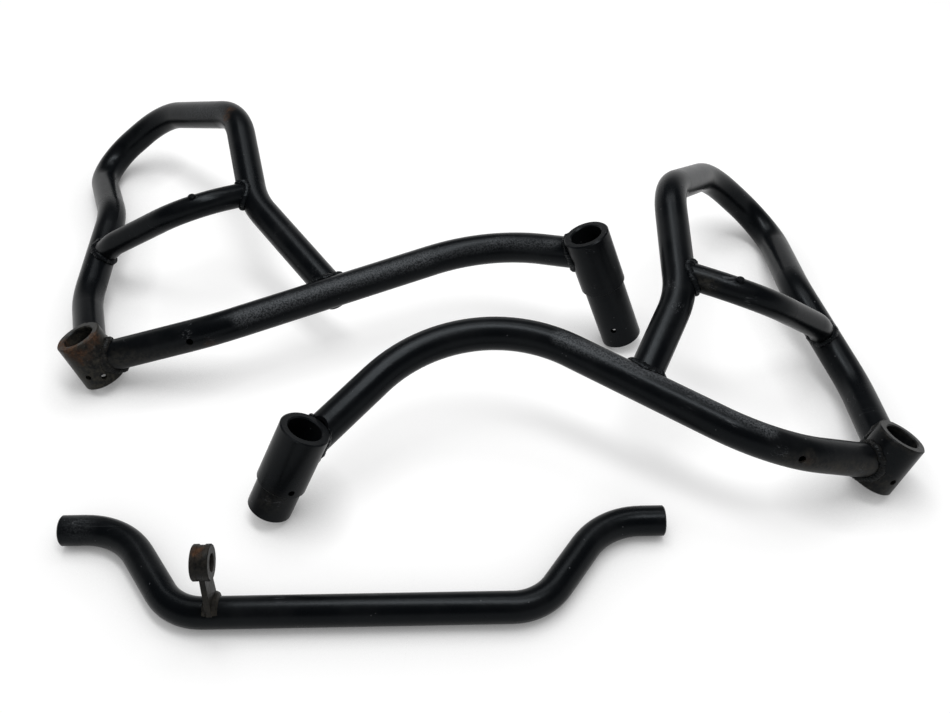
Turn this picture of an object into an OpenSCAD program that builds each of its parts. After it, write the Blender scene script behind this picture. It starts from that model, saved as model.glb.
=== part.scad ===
// Motorcycle crash bars as they come off the machine: two welded side bars and a loose
// cross tube with a lug, laid out on a floor. Millimetres, +Z up, the floor is Z = 0.
//
// A side bar is drawn in a frame of its own. The foot of its front socket is the origin
// and its bore runs along Z, X runs towards the rear socket and Y out to the hoop. The
// left bar is laid down as drawn. The right one is its mirror image with another rear end.

/* [Tube stock] */
// Outside diameter of the main and hoop tubes
main_d = 27; // [25:0.5:28]
// Wall of the main and hoop tubes
main_wall = 2.5; // [1.5:0.25:3.5]
// Outside diameter of the brace tubes
brace_d = 22; // [19:0.5:24]
// Wall of the brace tubes
brace_wall = 2; // [1.5:0.25:3]
// Outside diameter of the cross tube
cross_d = 23; // [20:0.5:25]
// Wall of the cross tube
cross_wall = 2.5; // [1.5:0.25:4]

/* [Sockets] */
// Outside diameter of the front sockets and the rear sockets' collars
socket_d = 39; // [37:0.5:42]
// Wall of the sockets
socket_wall = 6.25; // [5:0.25:8]
// Height of the front sockets
front_socket_h = 45; // [44:1:55]
// Depth of the step below the rear sockets' collars
rear_step = 2; // [1:0.25:3]
// Height of the rear sockets' collars
rear_collar_h = 52; // [48:1:60]
// Overall height of the left rear socket
left_rear_h = 113; // [100:1:125]
// Overall height of the right rear socket
right_rear_h = 80; // [76:1:95]
// Chamfer on the sockets' edges
socket_chamfer = 1; // [0.5:0.25:2]
// Diameter of the clamp screw holes
screw_hole_d = 5; // [4:0.5:8]

/* [Side bars] */
// Height above the foot at which the main tube meets the front socket
main_join_h = 18; // [17.5:0.5:22]
// Height above the foot at which the hoop meets the front socket
hoop_join_h = 25; // [22:0.5:27]
// Distance along X from the front socket to the left rear socket
left_span = 430; // [410:2:450]
// Distance along X from the front socket to the right rear socket
right_span = 421; // [405:2:440]
// How far the hoop reaches out along Y
hoop_reach = 329; // [315:2:345]
// Distance from the main tube's front bend to the foot of the hoop
hoop_foot = 109; // [91:2:125]
// How far the hoop's foot lies below the axis of the main tube
hoop_drop = 7.5; // [5:0.5:8]
// Distance from the hoop's first bend to the outer end of the brace
brace_outer_foot = 56; // [52:1:60]
// Distance from the left hoop's last bend to the inner end of its brace
left_brace_inner_foot = 11; // [9:1:16]
// Distance from the right hoop's last bend to the inner end of its brace
right_brace_inner_foot = 22; // [18:1:26]

/* [Cross tube] */
// Length between the two inner bends
cross_middle = 259; // [225:2:291]
// How far the ends are set back from the middle
cross_setback = 73; // [65:1:80]
// How far each leg leans outwards
cross_flare = 51; // [45:1:60]
// Length of each end, from its bend
cross_end = 46; // [40:1:60]
// Distance from the left inner bend to the lug
lug_station = 26; // [24:1:60]
// Distance from the tube's axis to the eye of the lug
lug_reach = 49; // [40:1:60]
// Angle of the lug above the floor
lug_rise = 80; // [40:1:100]
// Thickness of the lug plate
lug_t = 4; // [3:0.5:6]
// Diameter of the bosses on the lug's eye
eye_d = 25; // [20:0.5:28]
// Hole through the eye
eye_hole_d = 12; // [8:0.5:14]
// Length of each boss on the eye
boss_l = 4.25; // [3:0.25:8]

/* [Welds] */
// Leg of the weld beads
weld_leg = 3.5; // [2.5:0.25:4]
// Gap left between pieces that are welded
root_gap = 0.3; // [0.2:0.05:0.5]

/* [Hidden] */
$fn = 64;
// Play between a weld bead and the metal that it lies on
bead_play = 0.1;
// Steps around a bead
bead_steps = 36;
// Height of a bead's crown above its chord, in legs
bead_crown = 0.3;
// Share of the chord at which the crown begins
bead_flat = 0.3;
// Half the angle of the bead that holds the hoop's foot, which lies under the main tube
hoop_bead_reach = 105;
// Steps and closeness of the searches for a skin, and steps of the search for the floor
slide_steps = 40;
slide_close = 0.002;
settle_steps = 12;
// A bend is this much slimmer than the straight runs, so that their skins never touch
bend_slim = 0.1;
// A bend reaches this far into the runs beside it
lap = 0.5;

// Bends of the main tube, from the front socket to the rear one
main_radii = [0, 100, 120, 0];
main_front_bend = [108, -23, 10];
left_rear_seat = [left_span, -42, -62];
left_rear_bend = left_rear_seat + [-78, 64, 18];
right_rear_seat = [right_span, 30, -155];
right_rear_bend = right_rear_seat + [-99, 108, 122];
// Height of each rear socket's rim above the axis of the tube that it carries
left_rear_rim = 22;
right_rear_rim = 30;

// Bends of the hoop, from the front socket round to the main tube
hoop_radii = [0, 80, 75, 39, 70, 55, 80, 0];
hoop_bends = [
    [-8, 87, 35],
    [24, 191, 62],
    [-1, hoop_reach, 67],
    [92, hoop_reach - 6, 95],
    [180, 204, 99],
    [169, 108, 48]
];

// Bends of the brace, which spans the hoop
brace_radii = [0, 48, 60, 0];
brace_bends = [[30, 125, 59.6], [119, 85.4, 77.6]];
// Small stop on top of each brace, at this share of its second bend
left_nub_share = 0.55;
right_nub_share = 0.71;
nub_d = 7;
nub_h = 2;
nub_crown = 0.7;
// Vent hole in the main tube, short of its front bend
vent_d = 6;
vent_setback = 20;
vent_way = [0, -1, 0.14];

socket_bore = socket_d - 2 * socket_wall;
rear_foot_d = socket_d - 2 * rear_step;

// Clamp screw holes in each socket: [angle about the bore, height above the foot]
left_front_holes = [[-110, 14], [-75, 9]];
right_front_holes = [[-100, 14]];
left_rear_holes = [[-115, 20]];
right_rear_holes = [[-110, 33]];

left_main = [[0, 0, main_join_h], main_front_bend, left_rear_bend, left_rear_seat];
right_main = [[0, 0, main_join_h], main_front_bend, right_rear_bend, right_rear_seat];

// Where each piece lies on the floor: [x, y, turn]
left_place = [-322, 628, 15.6];
right_place = [310, 510, 1.5];
cross_place = [-82, 390, 1.2];
layout_shift = [32.5, -678.3, 0];

// Vectors and bends

function unit(v) = v / norm(v);
function clamp(x, low, high) = max(low, min(high, x));
function turn_angle(a, b, c) = acos(clamp(unit(b - a) * unit(c - b), -1, 1));
function setback(a, b, c, r) = r * tan(turn_angle(a, b, c) / 2);
function step_along(from, to, distance) = from + unit(to - from) * distance;

// Frame of the bend at b: [outward, along, normal, centre]
function bend_frame(a, b, c, r) =
    let (
        u = unit(b - a),
        n = unit(cross(u, unit(c - b))),
        out = cross(u, n),
        centre = b - u * setback(a, b, c, r) - out * r
    ) [out, u, cross(out, u), centre];

// Point on the axis of the bend at b, where share runs from 0 to 1
function bend_point(a, b, c, r, share) =
    let (f = bend_frame(a, b, c, r), angle = turn_angle(a, b, c) * share)
    f[3] + (f[0] * cos(angle) + f[1] * sin(angle)) * r;

// Puts children's Z axis at a point, along a direction
module along(from, direction) {
    d = unit(direction);
    translate(from) rotate([0, acos(d.z), atan2(d.y, d.x)]) children();
}

module in_bend(a, b, c, r) {
    f = bend_frame(a, b, c, r);
    multmatrix([
        [f[0].x, f[1].x, f[2].x, f[3].x],
        [f[0].y, f[1].y, f[2].y, f[3].y],
        [f[0].z, f[1].z, f[2].z, f[3].z],
        [0, 0, 0, 1]
    ]) children();
}

// A solid rod through the points, bent at each inner one
module bent_rod(points, radii, d, over = 0) {
    last = len(points) - 1;
    for (i = [0 : last - 1]) {
        a = points[i];
        b = points[i + 1];
        trim_a = i == 0 ? -over : setback(points[i - 1], a, b, radii[i]);
        trim_b = i == last - 1 ? -over : setback(a, b, points[i + 2], radii[i + 1]);
        along(step_along(a, b, trim_a), b - a)
            cylinder(d = d, h = norm(b - a) - trim_a - trim_b);
    }
    for (i = [1 : last - 1]) bend(points, radii, i, d - bend_slim);
}

// The rod's bend at its point i
module bend(points, radii, i, d) {
    spill = lap / radii[i] * 180 / PI;
    in_bend(points[i - 1], points[i], points[i + 1], radii[i])
        rotate([0, 0, -spill])
        rotate_extrude(angle = turn_angle(points[i - 1], points[i], points[i + 1]) + 2 * spill)
        translate([radii[i], 0])
        circle(d = d);
}

module bent_tube(points, radii, d, wall) {
    difference() {
        bent_rod(points, radii, d);
        bent_rod(points, radii, d - 2 * wall, 1);
    }
}

// Nearest point on the axis of a bent tube

function nearest_on_run(p, a, b) =
    a + (b - a) * clamp((p - a) * (b - a) / ((b - a) * (b - a)), 0, 1);

// Empty where the point lies outside the bend's own wedge
function nearest_on_bend(p, a, b, c, r) =
    let (
        f = bend_frame(a, b, c, r),
        x = (p - f[3]) * f[0],
        y = (p - f[3]) * f[1],
        angle = atan2(y, x)
    )
    angle < 0 || angle > turn_angle(a, b, c) ? [] : [f[3] + unit(f[0] * x + f[1] * y) * r];

function nearest(p, points, radii) =
    let (
        last = len(points) - 1,
        spots = [
            for (i = [0 : last - 1])
                let (
                    a = points[i],
                    b = points[i + 1],
                    trim_a = i == 0 ? 0 : setback(points[i - 1], a, b, radii[i]),
                    trim_b = i == last - 1 ? 0 : setback(a, b, points[i + 2], radii[i + 1])
                )
                nearest_on_run(p, step_along(a, b, trim_a), step_along(b, a, trim_b)),
            for (i = [1 : 1 : last - 1])
                each nearest_on_bend(p, points[i - 1], points[i], points[i + 1], radii[i])
        ],
        gaps = [for (spot = spots) norm(p - spot)],
        least = min(gaps)
    )
    [for (i = [0 : len(spots) - 1]) if (gaps[i] == least) spots[i]][0];

// Weld beads

// Slides from a point along a direction until the carrier's skin is met
function slide(p, direction, points, radii, r, left = slide_steps) =
    let (gap = norm(p - nearest(p, points, radii)) - r)
    left == 0 || gap < slide_close ? p : slide(p + direction * gap, direction, points, radii, r, left - 1);

// Brings a point onto the skin of radius r round a point on the axis
function onto_skin(p, axis_point, r) = axis_point + unit(p - axis_point) * r;

// Seven corners of the bead where it crosses root: three on the carrier, two on the branch
// and two that crown it. run is the way the bead goes, out the branch's own outward way.
function bead_section(root, run, out, foot, axis, branch_r, points, radii, carrier_r, leg) =
    let (
        normal = unit(root - nearest(root, points, radii)),
        over_carrier = unit(cross(run, normal)),
        over_branch = unit(cross(out, run)),
        halfway = root + over_carrier * leg / 2,
        far = root + over_carrier * leg,
        half_toe = onto_skin(halfway, nearest(halfway, points, radii), carrier_r),
        carrier_toe = onto_skin(far, nearest(far, points, radii), carrier_r),
        rise = root + over_branch * leg / 2,
        up = root + over_branch * leg,
        half_rise = onto_skin(rise, foot + axis * ((rise - foot) * axis), branch_r),
        branch_toe = onto_skin(up, foot + axis * ((up - foot) * axis), branch_r),
        crown = unit(normal + out) * leg * bead_crown
    )
    [
        root, half_toe, carrier_toe,
        carrier_toe * (1 - bead_flat) + branch_toe * bead_flat + crown,
        carrier_toe * bead_flat + branch_toe * (1 - bead_flat) + crown,
        branch_toe, half_rise
    ];

// A fillet bead where a branch tube of diameter branch_d, whose axis goes from foot to
// away, stands on a carrier of diameter carrier_d that follows points and radii. It runs
// this many degrees to each side of the place where the branch is nearest to the carrier.
module bead(foot, away, branch_d, points, radii, carrier_d, reach = 180) {
    axis = unit(away - foot);
    offset = nearest(foot, points, radii) - foot;
    aside = offset - axis * (offset * axis);
    side = reach < 180 ? unit(aside) : unit(cross(axis, abs(axis.z) < 0.9 ? [0, 0, 1] : [1, 0, 0]));
    other = cross(axis, side);
    branch_r = branch_d / 2 + bead_play;
    carrier_r = carrier_d / 2 + bead_play;
    start = foot + axis * (carrier_d + branch_d);
    closed = reach == 180;
    last = bead_steps - 1;
    outs = [
        for (i = [0 : last])
            let (angle = closed ? 360 * i / bead_steps : reach * (2 * i / last - 1))
            side * cos(angle) + other * sin(angle)
    ];
    roots = [for (out = outs) slide(start + out * branch_r, -axis, points, radii, carrier_r)];
    rows = [
        for (i = [0 : last])
            let (
                next = roots[closed ? (i + 1) % bead_steps : min(i + 1, last)],
                before = roots[closed ? (i + last) % bead_steps : max(i - 1, 0)]
            )
            bead_section(
                roots[i], unit(next - before), outs[i], foot, axis, branch_r, points, radii,
                carrier_r, weld_leg
            )
    ];
    n = len(rows[0]);
    crown = 3;
    polyhedron(
        points = [for (row = rows) each row],
        faces = [
            for (i = [0 : closed ? last : last - 1])
                for (j = [0 : n - 1])
                    let (
                        i2 = (i + 1) % bead_steps,
                        j2 = (j + 1) % n,
                        a = i * n + j,
                        b = i2 * n + j,
                        c = i2 * n + j2,
                        d = i * n + j2
                    )
                    each [[a, b, c], [a, c, d]],
            if (!closed)
                for (k = [1 : n - 2])
                    let (b = (crown + k) % n, c = (crown + k + 1) % n, end = last * n)
                    each [[crown, b, c], [end + crown, end + c, end + b]]
        ]
    );
}

// Laying a side bar on the floor

// Lowest point of a level ring once the bar's up direction is known
function rim_low(centre, r, up) =
    let (lean = [up.x, up.y, 0]) norm(lean) < 1e-6 ? centre : centre - unit(lean) * r;

function hoop_low(hoop, up) =
    let (
        axis_points = [
            for (share = [0 : 0.05 : 1])
                bend_point(hoop[2], hoop[3], hoop[4], hoop_radii[3], share)
        ],
        lowest = min([for (p = axis_points) p * up])
    )
    [for (p = axis_points) if (p * up == lowest) p][0] - up * main_d / 2;

// The up direction at which both sockets' feet and the hoop's outer bend touch the floor
function settle(main, hoop, rear_foot, up = [0, 0, 1], left = settle_steps) =
    left == 0 ? up :
    let (
        front = rim_low([0, 0, 0], socket_d / 2 - socket_chamfer, up),
        rear = rim_low(rear_foot, rear_foot_d / 2 - socket_chamfer, up),
        n = cross(rear - front, hoop_low(hoop, up) - front)
    )
    settle(main, hoop, rear_foot, unit(n) * sign(n.z), left - 1);

function hoop_path(main) = concat(
    [[0, 0, hoop_join_h]],
    hoop_bends,
    [step_along(main[1], main[2], hoop_foot) - [0, 0, hoop_drop]]
);

function brace_path(inner_foot) = concat(
    [step_along(hoop_bends[0], hoop_bends[1], brace_outer_foot)],
    brace_bends,
    [step_along(hoop_bends[5], hoop_bends[4], inner_foot)]
);

function rear_foot_of(main, rim, h) = main[3] + [0, 0, rim - h];

left_hoop = hoop_path(left_main);
right_hoop = hoop_path(right_main);
left_brace = brace_path(left_brace_inner_foot);
right_brace = brace_path(right_brace_inner_foot);
left_foot = rear_foot_of(left_main, left_rear_rim, left_rear_h);
right_foot = rear_foot_of(right_main, right_rear_rim, right_rear_h);
left_up = settle(left_main, left_hoop, left_foot);
right_up = settle(right_main, right_hoop, right_foot);

module laid(up) {
    low = rim_low([0, 0, 0], socket_d / 2 - socket_chamfer, up) * up;
    x = unit([1, 0, 0] - up * up.x);
    y = cross(up, x);
    multmatrix([
        [x.x, x.y, x.z, 0],
        [y.x, y.y, y.z, 0],
        [up.x, up.y, up.z, -low],
        [0, 0, 0, 1]
    ]) children();
}

module on_floor(place) {
    translate(layout_shift + [place.x, place.y, 0]) rotate([0, 0, place.z]) children();
}

module as_left() {
    on_floor(left_place) laid(left_up) children();
}

module as_right() {
    on_floor(right_place) mirror([1, 0, 0]) laid(right_up) children();
}

// Pieces of a side bar, in its own frame

module paint() {
    color([0.06, 0.065, 0.07]) children();
}

module clear_of_front_socket() {
    translate([0, 0, -socket_d]) cylinder(d = socket_d + 2 * root_gap, h = 3 * socket_d);
}

module clear_of_rear_socket(main) {
    translate(main[3] - [0, 0, 2 * socket_d])
        cylinder(d = socket_d + 2 * root_gap, h = 4 * socket_d);
}

module main_tube(main) {
    paint() difference() {
        bent_tube(main, main_radii, main_d, main_wall);
        clear_of_front_socket();
        clear_of_rear_socket(main);
        vent_hole(main);
    }
}

module vent_hole(main) {
    along(step_along(main[1], main[0], vent_setback), vent_way) cylinder(d = vent_d, h = main_d);
}

module hoop_tube(main, hoop) {
    paint() difference() {
        bent_tube(hoop, hoop_radii, main_d, main_wall);
        clear_of_front_socket();
        along(main[1], main[2] - main[1])
            cylinder(d = main_d + 2 * root_gap, h = norm(main[2] - main[1]));
    }
}

module brace_tube(hoop, brace) {
    paint() difference() {
        bent_tube(brace, brace_radii, brace_d, brace_wall);
        bent_rod(hoop, hoop_radii, main_d + 2 * root_gap);
    }
}

module brace_nub(brace, up, share) {
    spot = bend_point(brace[1], brace[2], brace[3], brace_radii[2], share);
    r = nub_d / 2;
    skin = brace_d / 2;
    paint() difference() {
        along(spot, up) turned([
            [0, 0], [r, 0], [r, skin + nub_h - nub_crown], [r - nub_crown, skin + nub_h],
            [0, skin + nub_h]
        ]);
        bend(brace, brace_radii, 2, brace_d + 2 * bead_play, $fn = 256);
    }
}

// Ring in the plane of the axis: [radius, height] points, bored through
module turned(profile) {
    rotate_extrude() polygon(profile);
}

module screw_hole(angle, height) {
    rotate([0, 0, angle]) translate([0, 0, height]) rotate([0, 90, 0])
        cylinder(d = screw_hole_d, h = socket_d);
}

module front_socket(holes) {
    inner = socket_bore / 2;
    outer = socket_d / 2;
    c = socket_chamfer;
    paint() difference() {
        turned([
            [inner + c, 0], [outer - c, 0], [outer, c], [outer, front_socket_h - c],
            [outer - c, front_socket_h], [inner + c, front_socket_h],
            [inner, front_socket_h - c], [inner, c]
        ]);
        for (hole = holes) screw_hole(hole[0], hole[1]);
    }
}

module rear_socket(foot, h, holes) {
    inner = socket_bore / 2;
    outer = socket_d / 2;
    slim = rear_foot_d / 2;
    c = socket_chamfer;
    shoulder = h - rear_collar_h;
    paint() translate(foot) difference() {
        turned([
            [inner + c, 0], [slim - c, 0], [slim, c], [slim, shoulder - (outer - slim)],
            [outer, shoulder], [outer, h - c], [outer - c, h], [inner + c, h],
            [inner, h - c], [inner, c]
        ]);
        for (hole = holes) screw_hole(hole[0], hole[1]);
    }
}

// Ends a bead at the socket's rim
module below(rim) {
    translate([0, 0, rim - 3 * socket_d]) cylinder(d = 5 * socket_d, h = 3 * socket_d);
}

// Axis of a socket that passes through a seat
function socket_line(seat) = [seat - [0, 0, 3 * socket_d], seat + [0, 0, 3 * socket_d]];

module front_main_weld(main) {
    paint() bead(main[0], main[1], main_d, socket_line([0, 0, 0]), [0, 0], socket_d);
}

module front_hoop_weld(hoop) {
    paint() intersection() {
        bead(hoop[0], hoop[1], main_d, socket_line([0, 0, 0]), [0, 0], socket_d);
        below(front_socket_h);
    }
}

module rear_weld(main, rim) {
    paint() intersection() {
        bead(main[3], main[2], main_d, socket_line(main[3]), [0, 0], socket_d);
        translate(main[3]) below(rim);
    }
}

module hoop_weld(main, hoop) {
    paint() bead(hoop[7], hoop[6], main_d, main, main_radii, main_d, hoop_bead_reach);
}

module brace_outer_weld(hoop, brace) {
    paint() bead(brace[0], brace[1], brace_d, hoop, hoop_radii, main_d);
}

module brace_inner_weld(hoop, brace) {
    paint() bead(brace[3], brace[2], brace_d, hoop, hoop_radii, main_d);
}

// Cross tube and lug, in a frame on the floor whose X runs along the middle of the tube

half_middle = cross_middle / 2;
cross_radii = [0, 54, 40, 40, 54, 0];
cross_path = [
    [-half_middle - cross_flare - cross_end, cross_setback, cross_d / 2],
    [-half_middle - cross_flare, cross_setback, cross_d / 2],
    [-half_middle, 0, cross_d / 2],
    [half_middle, 0, cross_d / 2],
    [half_middle + cross_flare, cross_setback, cross_d / 2],
    [half_middle + cross_flare + cross_end, cross_setback, cross_d / 2]
];
end_chamfer = 1;
// Chamfer on the bosses, and how far the plate's eye stays inside them
eye_step = 0.6;
// How far the plate stays inside the tube at its foot, and inside the eye at its neck
lug_foot_inset = 1.5;
lug_neck_inset = 4.5;
// How far the bead at the plate's foot stops short of its corners, in degrees
lug_weld_stop = 6;

module end_chamfer_cut() {
    r = cross_d / 2;
    rotate_extrude()
        polygon([[r - end_chamfer, -1], [r + 1, -1], [r + 1, end_chamfer + 1], [r - end_chamfer, 0]]);
}

module cross_tube() {
    paint() on_floor(cross_place) difference() {
        bent_tube(cross_path, cross_radii, cross_d, cross_wall);
        along(cross_path[0], [1, 0, 0]) end_chamfer_cut();
        along(cross_path[5], [-1, 0, 0]) end_chamfer_cut();
    }
}

// Puts children in the plane of the lug plate: X out along the lug, Z across its thickness
module in_lug() {
    on_floor(cross_place)
        translate([lug_station - half_middle, 0, cross_d / 2])
        rotate([90, 0, 90])
        rotate([0, 0, lug_rise])
        children();
}

lug_base_w = cross_d - 2 * lug_foot_inset;
lug_neck_w = eye_d - 2 * lug_neck_inset;

module lug_plate() {
    paint() in_lug() difference() {
        union() {
            linear_extrude(lug_t)
                polygon([
                    [0, -lug_base_w / 2], [cross_d / 2, -lug_base_w / 2], [lug_reach, -lug_neck_w / 2],
                    [lug_reach, lug_neck_w / 2], [cross_d / 2, lug_base_w / 2], [0, lug_base_w / 2]
                ]);
            translate([lug_reach, 0, 0]) cylinder(d = eye_d - 2 * eye_step, h = lug_t);
        }
        translate([0, 0, -1]) cylinder(d = cross_d + 2 * root_gap, h = lug_t + 2);
        translate([lug_reach, 0, -1]) cylinder(d = eye_hole_d, h = lug_t + 2);
    }
}

// Turned boss that stands on the plate of the eye
module boss() {
    r = eye_d / 2;
    inner = eye_hole_d / 2;
    paint() turned([
        [inner, 0], [r - eye_step, 0], [r, eye_step], [r, boss_l - eye_step],
        [r - eye_step, boss_l], [inner + eye_step, boss_l], [inner, boss_l - eye_step]
    ]);
}

module lug_left_boss() {
    in_lug() translate([lug_reach, 0, 0]) mirror([0, 0, 1]) boss();
}

module lug_right_boss() {
    in_lug() translate([lug_reach, 0, lug_t]) boss();
}

// A bead along each side of the plate's foot, bent round the tube
module lug_weld() {
    spread = asin(lug_base_w / (cross_d + 2 * root_gap)) - lug_weld_stop;
    r = cross_d / 2 + bead_play;
    crown = weld_leg * (1 + bead_crown) / 2;
    paint() in_lug() for (side = [0, 1])
        translate([0, 0, side * lug_t]) mirror([0, 0, 1 - side])
        rotate([0, 0, -spread])
        rotate_extrude(angle = 2 * spread)
        polygon([[r, bead_play], [r + weld_leg, bead_play], [r + crown, crown], [r, weld_leg]]);
}

as_left() main_tube(left_main);  // left_main_tube
as_left() hoop_tube(left_main, left_hoop);  // left_hoop_tube
as_left() brace_tube(left_hoop, left_brace);  // left_brace_tube
as_left() front_socket(left_front_holes);  // left_front_socket
as_left() rear_socket(left_foot, left_rear_h, left_rear_holes);  // left_rear_socket
as_left() brace_nub(left_brace, left_up, left_nub_share);  // left_brace_nub
as_left() front_main_weld(left_main);  // left_front_main_weld
as_left() front_hoop_weld(left_hoop);  // left_front_hoop_weld
as_left() rear_weld(left_main, left_rear_rim);  // left_rear_weld
as_left() hoop_weld(left_main, left_hoop);  // left_hoop_weld
as_left() brace_outer_weld(left_hoop, left_brace);  // left_brace_outer_weld
as_left() brace_inner_weld(left_hoop, left_brace);  // left_brace_inner_weld
as_right() main_tube(right_main);  // right_main_tube
as_right() hoop_tube(right_main, right_hoop);  // right_hoop_tube
as_right() brace_tube(right_hoop, right_brace);  // right_brace_tube
as_right() front_socket(right_front_holes);  // right_front_socket
as_right() rear_socket(right_foot, right_rear_h, right_rear_holes);  // right_rear_socket
as_right() brace_nub(right_brace, right_up, right_nub_share);  // right_brace_nub
as_right() front_main_weld(right_main);  // right_front_main_weld
as_right() front_hoop_weld(right_hoop);  // right_front_hoop_weld
as_right() rear_weld(right_main, right_rear_rim);  // right_rear_weld
as_right() hoop_weld(right_main, right_hoop);  // right_hoop_weld
as_right() brace_outer_weld(right_hoop, right_brace);  // right_brace_outer_weld
as_right() brace_inner_weld(right_hoop, right_brace);  // right_brace_inner_weld
cross_tube();
lug_plate();
lug_left_boss();
lug_right_boss();
lug_weld();
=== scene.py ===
"""Motorcycle crash bars: two welded side bars and a cross tube in worn satin black paint."""

import logging
import math
from dataclasses import dataclass, replace
from enum import Enum

import bmesh
import bpy
from mathutils import Matrix, Vector

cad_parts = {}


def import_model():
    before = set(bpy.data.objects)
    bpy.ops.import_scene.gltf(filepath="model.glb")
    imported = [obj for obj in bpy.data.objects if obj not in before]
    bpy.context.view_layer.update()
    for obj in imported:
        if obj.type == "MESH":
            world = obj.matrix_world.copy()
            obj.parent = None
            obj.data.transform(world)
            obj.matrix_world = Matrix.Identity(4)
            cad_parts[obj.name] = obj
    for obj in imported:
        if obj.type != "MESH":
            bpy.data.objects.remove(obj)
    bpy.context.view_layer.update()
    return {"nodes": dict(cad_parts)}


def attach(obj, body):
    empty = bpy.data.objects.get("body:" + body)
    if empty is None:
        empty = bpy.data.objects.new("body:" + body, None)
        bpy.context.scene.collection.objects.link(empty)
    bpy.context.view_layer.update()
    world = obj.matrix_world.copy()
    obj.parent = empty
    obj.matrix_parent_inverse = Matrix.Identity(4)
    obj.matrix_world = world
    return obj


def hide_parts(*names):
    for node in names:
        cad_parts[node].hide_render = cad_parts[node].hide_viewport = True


LOG = logging.getLogger("crash_bars")
Point = tuple[float, float, float]
Colour = tuple[float, float, float]
Range = tuple[float, float]
Socket = bpy.types.NodeSocket
Value = Socket | float | tuple[float, ...]

# The Mix node's colour sockets share their names with its other sockets, so they go by number.
FIRST_COLOUR, SECOND_COLOUR, MIXED_COLOUR = 6, 7, 2
WHITE = (1.0, 1.0, 1.0, 1.0)


class Slot(Enum):
    """The record's material slot of the pieces that are modelled here, which this script does not
    assign.
    """

    BLACK = "black_paint"


class Wear(Enum):
    """What a worn place on the paint shows, or a painted highlight, with how softly it fades out.
    """

    SCUFF = 0.2
    RUST = 0.45
    DUST = 0.85
    # Chalky paint, lighter and bluish, that is partly a painted highlight on the lit tube tops.
    CHALK_AND_HIGHLIGHT = 1.0


@dataclass(frozen=True)
class Spot:
    """A worn place on the paint, or a painted highlight, round a point or along a line."""

    kind: Wear
    at: Point
    radius: float
    strength: float = 1.0
    to: Point | None = None


@dataclass(frozen=True)
class Rim:
    """A worn ring where a socket or a tube ends."""

    kind: Wear
    at: Point
    axis: Point
    width: float
    strength: float = 1.0


@dataclass(frozen=True)
class Grain:
    """A noise, and the part of its range that is spread from faint to full."""

    scale: float
    detail: float = 2.0
    rough: float = 0.5
    low: float = 0.0
    high: float = 1.0
    faint: float = 0.0
    full: float = 1.0


RAGGED_EDGE = Grain(130.0, 6.0, 0.62)
TORN_RIM = Grain(260.0, 4.0, 0.6)
FINE_GRAZES = Grain(1300.0, 2.0, 0.6, 0.5, 0.64)
COARSE_GRAZES = Grain(420.0, 3.0, 0.6, 0.42, 0.6)
ORANGE_PEEL = Grain(620.0, 2.0, 0.55)
WAVES = Grain(170.0, 2.0, 0.5)
CLOUDS = Grain(28.0, 5.0, 0.6)
DUST_GRAIN = Grain(240.0, 5.0, 0.7, 0.34, 0.66, 0.1)
# Grain of the chalk and its painted highlight.
CHALK_HIGHLIGHT_GRAIN = Grain(700.0, 4.0, 0.75, 0.4, 0.62, 0.1)
RUST_GRAIN = Grain(190.0, 5.0, 0.7, 0.36, 0.6, 0.15, 0.9)
RUST_TONES = Grain(420.0, 4.0, 0.6, 0.35, 0.65)
RUST_PITS = Grain(700.0, 4.0, 0.7)


# Node trees


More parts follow.
